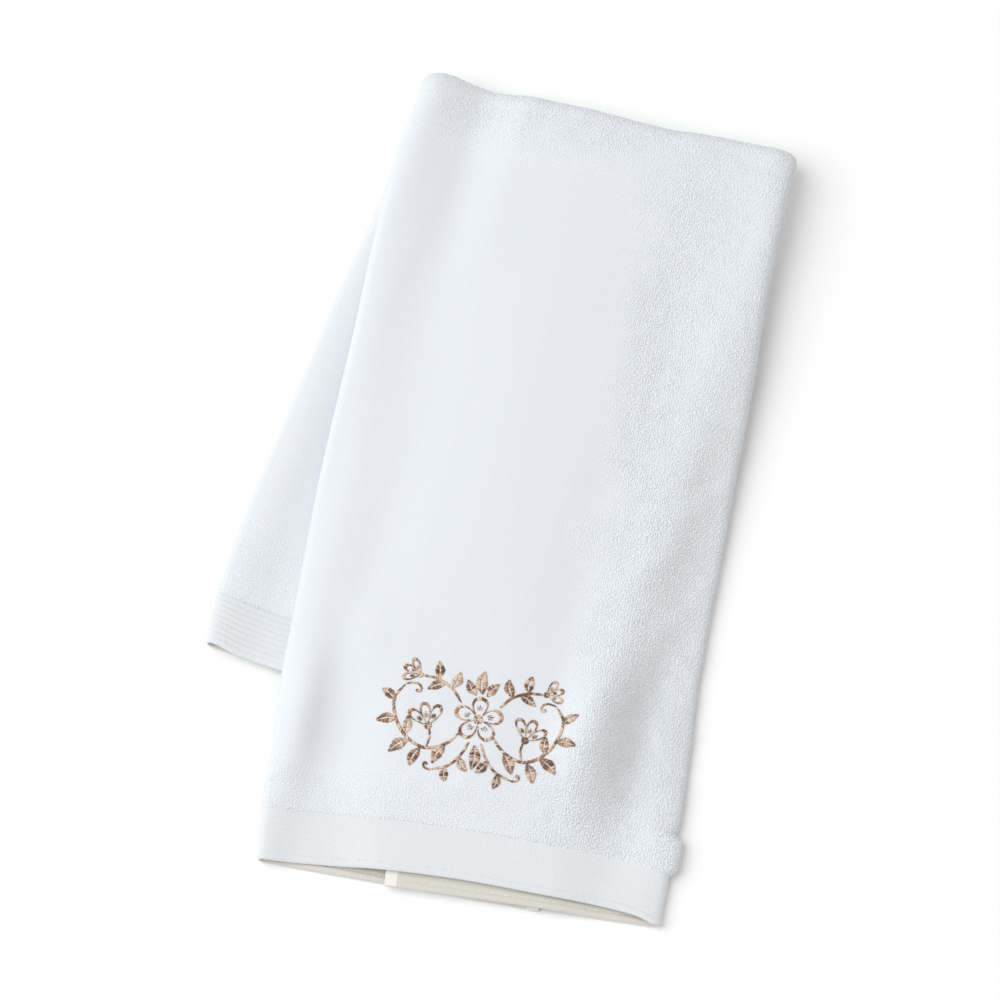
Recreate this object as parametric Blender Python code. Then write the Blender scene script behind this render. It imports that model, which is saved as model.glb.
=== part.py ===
"""A white terry hand towel, lying folded: both sides turned in behind the middle, then folded once across.

The cloth is one sheet. Each point of it is named by how far it lies across the cloth (from the free edge of
the left flap) and along it (from the front hem). lay_cloth() turns that into a place in the folded towel:
first the lengthwise folds, which stack the sheet into a strip, then the crosswise fold, which doubles the
strip. The upper half lies on the lower one and sinks to the surface past its edges. +Y runs up the upper
half to the crosswise fold, +Z is up, and the surface that the towel lies on is z = 0.
"""

import math
from collections import namedtuple

import bmesh
import bpy
import numpy as np

# The cloth, in metres. The pile is part of its thickness.
PILE_THICK = 0.0024
BORDER_THICK = 0.0016
HEM_THICK = 0.0021
SIDE_HEM_THICK = 0.0018
HEM = 0.0035
RIBS = 8
RIB_PITCH = 0.00266
RIB_RISE = 0.00022
BORDER = HEM + RIBS * RIB_PITCH

# The lengthwise folds: a middle panel with a flap turned in behind it from either side.
PANEL = 0.186
LEFT_FLAP = 0.132
RIGHT_FLAP = 0.128
SIDE_RADIUS = 0.0030
SIDE_TURN = math.pi * SIDE_RADIUS
PANEL_START = LEFT_FLAP + SIDE_TURN
PANEL_END = PANEL_START + PANEL
RIGHT_FLAP_START = PANEL_END + SIDE_TURN
CLOTH_WIDTH = RIGHT_FLAP_START + RIGHT_FLAP

# The crosswise fold. It runs a little askew, so the lower half swings out to the left.
UPPER_HALF = 0.3973
LOWER_HALF = 0.3122
CLOTH_LENGTH = UPPER_HALF + LOWER_HALF
FOLD_TILT = math.radians(-3.4)
FOLD_RADIUS = 0.0020
FOLD_TURN = 0.0160
LAYER_STEP = 0.0031
STEP_RAMP = 0.030
ROLL_WIDTH = 0.012

# The flaps' hems don't lie level with the panel's: past it in the upper half, drawn back in the lower one.
LEFT_FLAP_SLIP = 0.0017
RIGHT_FLAP_SLIP = 0.0024
LOWER_FLAP_BACK = 0.0030
SLIP_REACH = 0.045
UPPER_HEM_SKEW = -0.0026
LOWER_HEM_SKEW = 0.0080

# How the upper half comes down to the surface past the lower half's edges.
DROP_START = 0.001
SIDE_DROP = 0.032
HEM_DROP = 0.044

# The two lengthwise folds in the flat strip: along is from the crosswise fold, negative in the upper half.
SideFolds = namedtuple("SideFolds", "along left right")
SIDE_FOLDS = (
    SideFolds(-0.400, -0.0890, 0.0918),
    SideFolds(-0.374, -0.0922, 0.0920),
    SideFolds(-0.340, -0.0935, 0.0920),
    SideFolds(-0.310, -0.0947, 0.0907),
    SideFolds(-0.275, -0.0955, 0.0888),
    SideFolds(-0.215, -0.0966, 0.0888),
    SideFolds(-0.135, -0.0950, 0.0888),
    SideFolds(-0.070, -0.0943, 0.0880),
    SideFolds(-0.035, -0.0925, 0.0888),
    SideFolds(-0.010, -0.0888, 0.0896),
    SideFolds(0.050, -0.0880, 0.0895),
    SideFolds(0.130, -0.0936, 0.0885),
    SideFolds(0.195, -0.0973, 0.0875),
    SideFolds(0.258, -0.1006, 0.0870),
    SideFolds(0.290, -0.1000, 0.0875),
    SideFolds(0.315, -0.0975, 0.0885),
)

# How far the panel's hem is drawn back over the flaps, against the share of the way across from the left fold.
BOW_REACH = 0.110
Bow = namedtuple("Bow", "share back")
HEM_BOW = (Bow(0.0, 0.0), Bow(0.12, 0.0022), Bow(0.30, 0.0042), Bow(0.50, 0.0054), Bow(0.72, 0.0046),
           Bow(0.90, 0.0040), Bow(0.96, 0.0024), Bow(1.0, 0.0))

# The pile's roll at the right fold stands out past the border's thinner edge, below a notch.
EDGE_BULGE = 0.0034
EDGE_WIDTH = 0.012
EDGE_NOTCH = 0.0012

# Soft swellings of the panel over its flaps. Centre in the flat strip, half sizes, turn from +Y, and lift.
Form = namedtuple("Form", "across along half_width half_length turn lift")
FORMS = (
    Form(-0.078, -0.004, 0.0140, 0.016, 0, 0.0020),  # the blunt corner where the left fold meets the crosswise one
    Form(-0.095, -0.004, 0.007, 0.014, 0, -0.0030),  # its end, pressed down
    Form(-0.018, -0.016, 0.018, 0.030, 90, 0.0014),  # on the crosswise fold, left of the middle
    Form(0.070, -0.012, 0.013, 0.022, 80, 0.0018),  # on the crosswise fold, right
    Form(0.092, -0.012, 0.010, 0.020, 0, -0.0020),  # its right end, pressed down
    Form(-0.010, -0.138, 0.030, 0.100, 6, 0.0030),  # the smooth band down the middle
    Form(0.024, -0.084, 0.014, 0.040, -15, 0.0028),  # a short slanting swell, upper right
    Form(0.062, -0.150, 0.019, 0.100, -4, 0.0014),  # cloth that bridges from the left flap's edge to the right fold
    Form(0.083, -0.200, 0.013, 0.085, -2, -0.0019),  # the right fold, pressed flatter
    Form(-0.072, -0.120, 0.016, 0.110, 0, 0.0014),  # cloth that bridges beside the left fold
    Form(0.018, -0.312, 0.028, 0.040, 15, 0.0036),  # under the embroidery
    Form(0.042, -0.300, 0.0085, 0.036, -22, 0.0050),  # its right end, which falls off to the right
    Form(-0.087, -0.328, 0.0090, 0.029, 0, 0.0044),  # the left fold beside it, which falls off steeply to its right
    Form(-0.087, -0.150, 0.012, 0.150, 0, 0.0013),  # the plump left fold, highest a little way in
    Form(-0.100, -0.150, 0.007, 0.150, 0, -0.0012),  # its edge
    Form(0.076, -0.190, 0.005, 0.020, -38, 0.0010),  # three slanting puckers beside the right fold
    Form(0.070, -0.222, 0.006, 0.022, -34, 0.0012),
    Form(0.074, -0.255, 0.005, 0.018, -30, 0.0010),
    Form(0.080, -0.315, 0.007, 0.045, 0, 0.0015),  # the right fold beside the embroidery, highest a little way in
    Form(0.095, -0.315, 0.008, 0.045, 0, -0.0015),  # its edge
    Form(0.096, -0.386, 0.012, 0.016, 0, -0.0018),  # the border's right end, rolled under
    Form(-0.048, -0.396, 0.012, 0.018, 0, -0.0011),  # the border sinks beside the edge of the flap under it
    Form(0.086, -0.362, 0.010, 0.012, 0, 0.0014),  # the bulge above the border, right
    Form(-0.070, 0.150, 0.020, 0.110, 2, 0.0010),  # the lower half's left edge
)

# Where the mesh has its rows and columns.
PANEL_STATIONS = (0.0, 0.007, 0.016, 0.030, 0.045, 0.060, 0.075, 0.090, 0.105, 0.120, 0.135, 0.150, 0.165, 0.178, PANEL)
TURN_STEPS = 4
UPPER_STATIONS = (-0.3685, -0.3565, -0.3515, -0.343, -0.331, -0.318, -0.305, -0.292, -0.272, -0.248, -0.222,
                  -0.196, -0.170, -0.144, -0.118, -0.094, -0.070, -0.048, -0.028)
FOLD_STATIONS = tuple(FOLD_TURN * (step / 5 - 0.5) for step in range(6))
LOWER_STATIONS = (0.030, 0.055, 0.080, 0.105, 0.130, 0.155, 0.180, 0.205, 0.228, 0.248, 0.266)


def smooth_step(x):
    """0 below 0, 1 above 1, and an even curve between."""
    x = np.clip(x, 0.0, 1.0)
    return x * x * (3.0 - 2.0 * x)


def through_stations(x, places, values):
    """A smooth curve through a table's stations, with slopes from each station's neighbours."""
    places, values = np.array(places), np.array(values)
    slopes = np.gradient(values, places)
    i = np.clip(np.searchsorted(places, x) - 1, 0, len(places) - 2)
    span = places[i + 1] - places[i]
    t = np.clip((x - places[i]) / span, 0.0, 1.0)
    return ((2 * t**3 - 3 * t**2 + 1) * values[i] + (t**3 - 2 * t**2 + t) * span * slopes[i]
            + (3 * t**2 - 2 * t**3) * values[i + 1] + (t**3 - t**2) * span * slopes[i + 1])


def side_folds(along):
    places = [row.along for row in SIDE_FOLDS]
    return (through_stations(along, places, [row.left for row in SIDE_FOLDS]),
            through_stations(along, places, [row.right for row in SIDE_FOLDS]))


def swelling(across, along):
    lift = np.zeros_like(across)
    for form in FORMS:
        turn = math.radians(form.turn)
        x, y = across - form.across, along - form.along
        side = (x * math.cos(turn) + y * math.sin(turn)) / form.half_width
        length = (y * math.cos(turn) - x * math.sin(turn)) / form.half_length
        lift = lift + form.lift * np.exp(-(side**2 + length**2))
    return lift


def right_flap_height(s):
    """The right flap's height over the lowest layer: it lies on the left flap, then comes down past its edge."""
    return LAYER_STEP * (1 - smooth_step((s - LEFT_FLAP - 0.002) / STEP_RAMP))


def panel_height(s, across, along):
    """The panel's height over the lowest layer, with the rolls at its folds and its swellings."""
    on_right_flap = smooth_step((s - (PANEL - RIGHT_FLAP) + 0.002 + STEP_RAMP) / STEP_RAMP)
    flaps = LAYER_STEP + on_right_flap * right_flap_height(s)
    roll = np.exp(-(s / ROLL_WIDTH) ** 2) + np.exp(-((PANEL - s) / ROLL_WIDTH) ** 2)
    return flaps + (2 * SIDE_RADIUS - LAYER_STEP) * roll + swelling(across, along)


def fold_sides(u, along):
    """Lengthwise folds: the cloth at u across it, as a distance s from the left fold, a place across the
    strip, and a height over the lowest layer."""
    left, right = side_folds(along)
    scale = (right - left) / PANEL
    edges = np.cumsum([LEFT_FLAP, SIDE_TURN, PANEL, SIDE_TURN])
    on_left_flap, in_left_turn, on_panel, in_right_turn = (u < edge for edge in edges)

    s = np.select([on_left_flap, in_left_turn, on_panel, in_right_turn],
                  [edges[0] - u, 0.0 * u, u - edges[1], 0.0 * u + PANEL], PANEL - (u - edges[3]))
    turn = np.select([on_left_flap, in_left_turn, on_panel, in_right_turn],
                     [0.0 * u, (u - edges[0]) / SIDE_RADIUS, 0.0 * u + math.pi, (edges[3] - u) / SIDE_RADIUS], 0.0)
    bulge = SIDE_RADIUS * np.sin(turn) * np.where(u < edges[1], -1.0, 1.0)
    bulge = np.where(on_left_flap | (on_panel & ~in_left_turn) | ~in_right_turn, 0.0, bulge)
    across = left + scale * s + bulge

    upper = panel_height(s, across, along)
    lower = np.where(u < edges[1], 0.0, right_flap_height(s))
    raised = (1 - np.cos(turn)) / 2
    height = np.where(on_panel & ~in_left_turn, upper, lower + (upper - lower) * raised)
    return s, across, height


def edge_bulge(s, along):
    """The pile's roll at the right fold, which stands out past the border's thinner edge."""
    above_border = smooth_step((along + UPPER_HALF - BORDER) / 0.003) * smooth_step((-0.352 - along) / 0.004)
    notch = EDGE_NOTCH * np.exp(-(((along + 0.3525) / 0.0022) ** 2))
    return (EDGE_BULGE * above_border - notch) * np.exp(-((PANEL - s) / EDGE_WIDTH) ** 2)


def draw_back_hem(u, s, along):
    """Draws the panel's hem back from the flaps' hems, the most near the middle."""
    on_panel = (u > PANEL_START) & (u < PANEL_END)
    back = through_stations(s / PANEL, [row.share for row in HEM_BOW], [row.back for row in HEM_BOW])
    near_hem = smooth_step((BOW_REACH - UPPER_HALF - along) / BOW_REACH)
    return along + np.where(on_panel, back, 0.0) * near_hem


def slip_flaps(u, s, along):
    """Moves a flap's hem along past the panel's, or back from it, the more the further from its fold."""
    on_left, on_right = u < LEFT_FLAP, u > CLOTH_WIDTH - RIGHT_FLAP
    reach = np.where(on_left, s / LEFT_FLAP, np.where(on_right, (PANEL - s) / RIGHT_FLAP, 0))
    near_upper_hem = smooth_step((SLIP_REACH - UPPER_HALF - along) / SLIP_REACH)
    near_lower_hem = smooth_step((along - LOWER_HALF + SLIP_REACH) / SLIP_REACH)
    slip = np.where(on_left, LEFT_FLAP_SLIP, RIGHT_FLAP_SLIP) * near_upper_hem + LOWER_FLAP_BACK * near_lower_hem
    return along - reach * slip


def skew_hems(s, along):
    """Turns each half's hem a little, by lengthening the half towards one side."""
    upper = along * (1 + UPPER_HEM_SKEW * (s / PANEL) / UPPER_HALF)
    lower = along * (1 + LOWER_HEM_SKEW * (s / PANEL) / LOWER_HALF)
    return np.where(along < 0, upper, lower)


def lower_half_under(x, y):
    """For a place in the upper half, the lower half's height there and how fully it carries the cloth."""
    along_fold = x * math.cos(FOLD_TILT) + y * math.sin(FOLD_TILT)
    from_fold = x * math.sin(FOLD_TILT) - y * math.cos(FOLD_TILT) + FOLD_TURN / 2
    across = along_fold * math.cos(FOLD_TILT) - from_fold * math.sin(FOLD_TILT)
    along = along_fold * math.sin(FOLD_TILT) + from_fold * math.cos(FOLD_TILT)
    left, right = side_folds(along)
    s = (across - left) / (right - left) * PANEL
    inside = np.clip(s, 0.0, PANEL)
    height = panel_height(inside, left + (right - left) * inside / PANEL, along)
    hem = LOWER_HALF + LOWER_HEM_SKEW * inside / PANEL
    past_side = smooth_step((s - PANEL - DROP_START) / SIDE_DROP)
    past_hem = smooth_step((along - hem - DROP_START) / HEM_DROP)
    carried = (1 - past_side) * (1 - past_hem)
    near_fold = smooth_step((from_fold - FOLD_TURN / 2) / 0.025)
    return height, 1 - (1 - carried) * near_fold


def lay_cloth(u, v):
    """The middle of the sheet's thickness, at u across and v along the flat cloth."""
    along = v - UPPER_HALF
    s, across, height = fold_sides(u, along)
    across = across + edge_bulge(s, along)
    along = skew_hems(s, draw_back_hem(u, s, slip_flaps(u, s, along)))

    along_fold = across * math.cos(FOLD_TILT) + along * math.sin(FOLD_TILT)
    past_fold = along * math.cos(FOLD_TILT) - across * math.sin(FOLD_TILT)
    radius = FOLD_RADIUS + height
    turn = math.pi * np.clip(past_fold / FOLD_TURN + 0.5, 0.0, 1.0)
    flat_run = np.maximum(np.abs(past_fold) - FOLD_TURN / 2, 0.0)
    out = radius * np.sin(turn) - flat_run
    x = along_fold * math.cos(FOLD_TILT) - out * math.sin(FOLD_TILT)
    y = along_fold * math.sin(FOLD_TILT) + out * math.cos(FOLD_TILT)

    half_sheet = PILE_THICK / 2
    left, right = side_folds(along)
    own_axis = half_sheet + FOLD_RADIUS + panel_height(s, left + (right - left) * s / PANEL, along)
    under, carried = lower_half_under(x, y)
    upper_axis = carried * (half_sheet + FOLD_RADIUS + under) + (1 - carried) * (half_sheet - FOLD_RADIUS)
    into_turn = smooth_step(past_fold / FOLD_TURN + 0.5)
    axis = own_axis * into_turn + upper_axis * (1 - into_turn)
    return np.stack([x, y, axis + radius * np.cos(turn)], axis=-1)


def thickness(u, v):
    """The sheet's thickness: pile, then the flat ribbed border and the hem at each end."""
    from_end = np.minimum(v, CLOTH_LENGTH - v)
    rib = np.cos(2 * math.pi * (from_end - HEM) / RIB_PITCH - math.pi)
    border = BORDER_THICK + 2 * RIB_RISE * rib
    thick = np.where(from_end > BORDER + 1e-6, PILE_THICK, border)
    thick = np.where(from_end < HEM - 1e-6, HEM_THICK, thick)
    on_side_hem = np.minimum(u, CLOTH_WIDTH - u) < 1e-6
    return np.where(on_side_hem, np.minimum(thick, SIDE_HEM_THICK), thick)


def columns():
    """Places across the cloth: a flap shares the panel's stations, so that the layers nest."""
    left_edge, panel_start = LEFT_FLAP, LEFT_FLAP + SIDE_TURN
    right_turn = panel_start + PANEL
    flap_start = right_turn + SIDE_TURN
    turn = [SIDE_TURN * step / TURN_STEPS for step in range(1, TURN_STEPS)]
    left_flap = [left_edge - s for s in reversed(PANEL_STATIONS) if s < LEFT_FLAP - 0.005]
    right_flap = [flap_start + PANEL - s for s in reversed(PANEL_STATIONS) if s > PANEL - RIGHT_FLAP + 0.005]
    return np.array([0.0, *left_flap, *(left_edge + a for a in turn), *(panel_start + s for s in PANEL_STATIONS),
                     *(right_turn + a for a in turn), *right_flap, CLOTH_WIDTH])


def rows():
    """Places along the cloth: hem, a crest and a groove for each rib, the two halves and the fold."""
    end = [0.0, HEM - 0.0006, HEM]
    end += [HEM + RIB_PITCH * step / 2 for step in range(1, 2 * RIBS + 1)]
    end += [BORDER + 0.0012]
    middle = [UPPER_HALF + m for m in (*UPPER_STATIONS, *FOLD_STATIONS, *LOWER_STATIONS)]
    return np.array([*end, *middle, *(CLOTH_LENGTH - v for v in reversed(end))])


def cloth_faces():
    """The sheet's two faces as grids of points, (columns, rows, 3) each."""
    u, v = np.meshgrid(columns(), rows(), indexing="ij")
    near = 1e-5
    by_u = lay_cloth(u + near, v) - lay_cloth(u - near, v)
    by_v = lay_cloth(u, v + near) - lay_cloth(u, v - near)
    out = np.cross(by_u, by_v)
    out /= np.linalg.norm(out, axis=-1, keepdims=True)
    middle = lay_cloth(u, v)
    half = thickness(u, v)[..., None] / 2
    outer, inner = middle + out * half, middle - out * half
    for face in (outer, inner):
        face[..., 2] = np.where(face[..., 2] < 0.0002, np.maximum(face[..., 2].round(5), 0.0), face[..., 2])
    return outer, inner


def build_towel():
    outer, inner = cloth_faces()
    both = np.concatenate([outer.reshape(-1, 3), inner.reshape(-1, 3)])
    low, high = both.min(axis=0), both.max(axis=0)
    shift = np.array([(low[0] + high[0]) / 2, (low[1] + high[1]) / 2, 0.0])

    bm = bmesh.new()
    n_columns, n_rows = outer.shape[:2]
    grids = []
    for face in (outer, inner):
        grids.append([[bm.verts.new(face[i, j] - shift) for j in range(n_rows)] for i in range(n_columns)])
    top, under = grids

    # Each quad is halved along the same diagonal in plan on every layer, so that the layers nest.
    flap_columns = columns() < LEFT_FLAP - 1e-6
    flap_columns |= columns() > CLOTH_WIDTH - RIGHT_FLAP - 1e-6
    for i in range(n_columns - 1):
        for j in range(n_rows - 1):
            ring = [(i, j), (i + 1, j), (i + 1, j + 1), (i, j + 1)]
            if flap_columns[i]:
                ring = ring[1:] + ring[:1]
            a, b, c, d = (top[p][q] for p, q in ring)
            bm.faces.new((a, b, c))
            bm.faces.new((a, c, d))
            a, b, c, d = (under[p][q] for p, q in ring)
            bm.faces.new((a, c, b))
            bm.faces.new((a, d, c))

    rim = [(i, 0) for i in range(n_columns)] + [(n_columns - 1, j) for j in range(1, n_rows)]
    rim += [(i, n_rows - 1) for i in range(n_columns - 2, -1, -1)] + [(0, j) for j in range(n_rows - 2, 0, -1)]
    for (i, j), (p, q) in zip(rim, rim[1:] + rim[:1]):
        bm.faces.new((top[p][q], top[i][j], under[i][j], under[p][q]))

    mesh = bpy.data.meshes.new("towel")
    bm.to_mesh(mesh)
    bm.free()
    mesh.shade_smooth()
    mesh.set_sharp_from_angle(angle=math.radians(50))
    towel = bpy.data.objects.new("towel", mesh)
    bpy.context.scene.collection.objects.link(towel)
    return towel


def white_terry():
    terry = bpy.data.materials.new("white terry")
    terry.use_nodes = True
    surface = terry.node_tree.nodes["Principled BSDF"]
    surface.inputs["Base Color"].default_value = (0.86, 0.88, 0.90, 1.0)
    surface.inputs["Roughness"].default_value = 0.95
    surface.inputs["Metallic"].default_value = 0.0
    return terry


for leftover in list(bpy.data.objects):
    bpy.data.objects.remove(leftover)

build_towel().data.materials.append(white_terry())
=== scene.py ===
import math
from collections import namedtuple

import bpy
import numpy as np
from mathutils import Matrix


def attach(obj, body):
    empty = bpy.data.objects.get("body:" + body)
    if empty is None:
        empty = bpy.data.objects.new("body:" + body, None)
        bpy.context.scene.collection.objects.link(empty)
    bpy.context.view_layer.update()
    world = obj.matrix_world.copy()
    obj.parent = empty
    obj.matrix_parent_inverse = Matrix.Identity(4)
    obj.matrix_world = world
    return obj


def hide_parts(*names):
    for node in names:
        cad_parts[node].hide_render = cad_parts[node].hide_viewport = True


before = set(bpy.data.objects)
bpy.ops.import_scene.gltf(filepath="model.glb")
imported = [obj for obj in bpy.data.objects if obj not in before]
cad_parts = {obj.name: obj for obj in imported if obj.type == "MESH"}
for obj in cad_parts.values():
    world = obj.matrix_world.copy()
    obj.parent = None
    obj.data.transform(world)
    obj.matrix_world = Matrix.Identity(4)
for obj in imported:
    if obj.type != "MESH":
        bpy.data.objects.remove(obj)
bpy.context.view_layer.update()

# ---- The cloth ----
# One length of white cotton terry, woven with a flat ribbed border and a turned hem at each end. Its two
# sides are turned in behind the middle panel, and the strip is then folded once across. The upper half lies
# on the lower one, which swings out to the left, and sinks to the surface past its edges.

# The sheet. The places of its layers follow from its thickness with the pile; the ground in it is thinner.
PILE_THICK = 0.0024
GROUND_THICK = 0.0017
BORDER_THICK = 0.0016
HEM = 0.0035
HEM_THICK = 0.0021
HEM_ROLL = 0.0012
SEAM_WIDTH = 0.0005
SEAM_DIP = 0.45
SIDE_HEM = 0.0057
SIDE_HEM_THICK = 0.0019
SIDE_HEM_ROLL = 0.001
LEAST_HEIGHT = 0.00002

# The borders' ribs, with a narrow groove between each two. The upper half's are pressed almost flat.
RIBS = 8
RIB_PITCH = 0.00266
GROOVE_WIDTH = 0.00060
UPPER_RIB_RISE = 0.00007
LOWER_RIB_RISE = 0.00044
BORDER = HEM + RIBS * RIB_PITCH

# The lengthwise folds: a middle panel with a flap turned in behind it from either side.
PANEL = 0.186
LEFT_FLAP = 0.132
RIGHT_FLAP = 0.128
SIDE_RADIUS = 0.0030
SIDE_TURN = math.pi * SIDE_RADIUS
PANEL_START = LEFT_FLAP + SIDE_TURN
PANEL_END = PANEL_START + PANEL
RIGHT_FLAP_START = PANEL_END + SIDE_TURN
CLOTH_WIDTH = RIGHT_FLAP_START + RIGHT_FLAP
LAYER_STEP = 0.0031
STEP_CLEARANCE = 0.002
STEP_RAMP = 0.030
ROLL_WIDTH = 0.012

# The crosswise fold. It runs a little askew, so the lower half swings out to the left.
UPPER_HALF = 0.3973
LOWER_HALF = 0.3122
CLOTH_LENGTH = UPPER_HALF + LOWER_HALF
FOLD_TILT = math.radians(-3.4)
FOLD_RADIUS = 0.0020
FOLD_TURN = 0.0160

# The flaps' hems don't lie level with the panel's, and neither hem is quite square to the folds.
LEFT_FLAP_SLIP = 0.0017
RIGHT_FLAP_SLIP = 0.0024
LOWER_FLAP_OUT = 0.0012
FLAP_EDGE_SHARE = 0.08
SLIP_REACH = 0.045
UPPER_HEM_SKEW = -0.0026
LOWER_HEM_SKEW = 0.0080

# How the upper half comes down to the surface past the lower half's edges.
DROP_START = 0.001
SIDE_DROP = 0.032
HEM_DROP = 0.044
DROP_FADE = 0.025

# The point of the folded cloth that the frame's origin lies under.
FRAME_ORIGIN = np.array([-0.01874, -0.18782, 0.0])

# The two lengthwise folds in the flat strip: along is from the crosswise fold, negative in the upper half.
SideFolds = namedtuple("SideFolds", "along left right")
SIDE_FOLDS = (
    SideFolds(-0.400, -0.0890, 0.0918),
    SideFolds(-0.374, -0.0922, 0.0920),
    SideFolds(-0.340, -0.0935, 0.0920),
    SideFolds(-0.310, -0.0947, 0.0907),
    SideFolds(-0.275, -0.0955, 0.0888),
    SideFolds(-0.215, -0.0966, 0.0888),
    SideFolds(-0.135, -0.0950, 0.0888),
    SideFolds(-0.070, -0.0943, 0.0880),
    SideFolds(-0.035, -0.0925, 0.0888),
    SideFolds(-0.010, -0.0888, 0.0896),
    SideFolds(0.050, -0.0880, 0.0895),
    SideFolds(0.130, -0.0936, 0.0885),
    SideFolds(0.195, -0.0973, 0.0875),
    SideFolds(0.258, -0.1006, 0.0870),
    SideFolds(0.290, -0.1000, 0.0875),
    SideFolds(0.315, -0.0975, 0.0885),
)

# How far the panel's hem is drawn back over the flaps, by the share of the way across from the left fold.
BOW_REACH = 0.110
Bow = namedtuple("Bow", "share back")
HEM_BOW = (Bow(0.0, 0.0), Bow(0.12, 0.0022), Bow(0.30, 0.0042), Bow(0.50, 0.0054), Bow(0.72, 0.0046),
           Bow(0.90, 0.0040), Bow(0.96, 0.0024), Bow(1.0, 0.0))

# Where the crosswise fold stands out past a straight line: its left end, and a stretch near its right end.
Pull = namedtuple("Pull", "across half_width out")
FOLD_PULLS = (Pull(-0.091, 0.009, -0.0014), Pull(-0.061, 0.019, 0.0021), Pull(0.064, 0.022, 0.0016))
PULL_REACH = 0.020

# The pile's roll at the right fold stands out past the border's thinner edge, below a notch.
EDGE_BULGE = 0.0034
EDGE_WIDTH = 0.012
BULGE_START = 0.003
BULGE_END = -0.352
BULGE_FADE = 0.004
EDGE_NOTCH = 0.0012
NOTCH_PLACE = -0.3525
NOTCH_WIDTH = 0.0022

# Soft swells and hollows of the panel over its flaps: centre in the flat strip, half sizes, turn in degrees
# from the strip's length, and lift.
Form = namedtuple("Form", "across along half_width half_length turn lift")
FORMS = (
    Form(-0.097, -0.004, 0.008, 0.014, 0, -0.0020),  # the left end of the crosswise fold, pressed down
    Form(-0.018, -0.016, 0.018, 0.030, 90, 0.0005),  # on the crosswise fold, left of the middle
    Form(0.078, -0.025, 0.018, 0.028, 0, 0.0024),  # a swell below the crosswise fold, right
    Form(0.094, -0.012, 0.009, 0.018, 0, -0.0014),  # the right end of the crosswise fold, pressed down
    Form(-0.014, -0.155, 0.027, 0.115, -1, 0.0032),  # the smooth band down the middle
    Form(0.044, -0.088, 0.020, 0.045, 0, -0.0020),  # the hollow to its right, near the crosswise fold
    Form(0.062, -0.050, 0.015, 0.055, 0, 0.0026),  # the swell that follows, over the right flap
    Form(0.061, -0.130, 0.021, 0.130, -4, 0.0029),  # cloth that bridges to the right fold
    Form(0.083, -0.200, 0.013, 0.085, -2, -0.0019),  # the right fold, pressed flatter
    Form(0.093, -0.120, 0.008, 0.100, 0, 0.0014),  # the right fold's edge, full above the puckers
    Form(0.033, -0.313, 0.027, 0.036, 8, 0.0036),  # the swell under the embroidery
    Form(0.049, -0.310, 0.0135, 0.033, -9, 0.0058),  # its crest, which falls off steeply to the right
    Form(0.071, -0.304, 0.009, 0.033, -9, -0.0015),  # the valley between that crest and the right fold
    Form(0.045, -0.354, 0.019, 0.016, -15, -0.0016),  # the valley's lower end, which curls to the left
    Form(-0.066, -0.334, 0.012, 0.028, 0, -0.0013),  # the hollow left of the embroidery
    Form(-0.086, -0.328, 0.009, 0.032, 0, 0.0044),  # the left fold beside that hollow
    Form(-0.062, -0.285, 0.012, 0.024, 0, 0.0022),  # a low swell above the embroidery's left end
    Form(-0.080, -0.125, 0.021, 0.115, 0, 0.0032),  # the plump left fold, which slopes gently to the panel
    Form(-0.075, -0.045, 0.013, 0.068, 0, 0.0025),  # the left fold's upper part, fuller
    Form(-0.084, -0.150, 0.010, 0.140, 0, 0.0018),  # the left fold's crest, a little way in
    Form(-0.100, -0.150, 0.007, 0.150, 0, -0.0012),  # the left fold's edge, lower than its crest
    Form(0.080, -0.190, 0.005, 0.020, -38, 0.0010),  # three slanting puckers beside the right fold
    Form(0.066, -0.222, 0.006, 0.022, -34, 0.0010),
    Form(0.074, -0.255, 0.005, 0.018, -30, 0.0010),
    Form(0.080, -0.315, 0.007, 0.045, 0, 0.0015),  # the right fold beside the valley, a little way in
    Form(0.096, -0.296, 0.009, 0.074, 0, -0.0029),  # the right fold's edge there, which rolls down
    Form(0.096, -0.392, 0.013, 0.016, 0, -0.0018),  # the border's right end, rolled under
    Form(-0.081, -0.398, 0.012, 0.014, 0, -0.0014),  # the left end of the border, close on the flap
    Form(-0.055, -0.397, 0.018, 0.018, 0, -0.0011),  # the border, sunk beside the flap's edge under it
    Form(0.086, -0.362, 0.010, 0.012, 0, 0.0014),  # the bulge above the border, right
    Form(-0.087, 0.200, 0.013, 0.085, 2, 0.0030),  # the lower half's left edge
)


def smooth_step(x):
    x = np.clip(x, 0.0, 1.0)
    return x * x * (3.0 - 2.0 * x)


def through_stations(x, places, values):
    """A smooth curve through the values at the given places."""
    places, values = np.array(places), np.array(values)
    slopes = np.gradient(values, places)
    i = np.clip(np.searchsorted(places, x) - 1, 0, len(places) - 2)
    span = places[i + 1] - places[i]
    t = np.clip((x - places[i]) / span, 0.0, 1.0)
    return ((2 * t**3 - 3 * t**2 + 1) * values[i] + (t**3 - 2 * t**2 + t) * span * slopes[i]
            + (3 * t**2 - 2 * t**3) * values[i + 1] + (t**3 - t**2) * span * slopes[i + 1])


def side_folds(along):
    places = [row.along for row in SIDE_FOLDS]
    return (through_stations(along, places, [row.left for row in SIDE_FOLDS]),
            through_stations(along, places, [row.right for row in SIDE_FOLDS]))


def swelling(across, along):
    """What the swells and hollows add to the panel's height."""
    lift = np.zeros_like(across)
    for form in FORMS:
        turn = math.radians(form.turn)
        x, y = across - form.across, along - form.along
        side = (x * math.cos(turn) + y * math.sin(turn)) / form.half_width
        length = (y * math.cos(turn) - x * math.sin(turn)) / form.half_length
        lift = lift + form.lift * np.exp(-(side**2 + length**2))
    return lift


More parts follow.
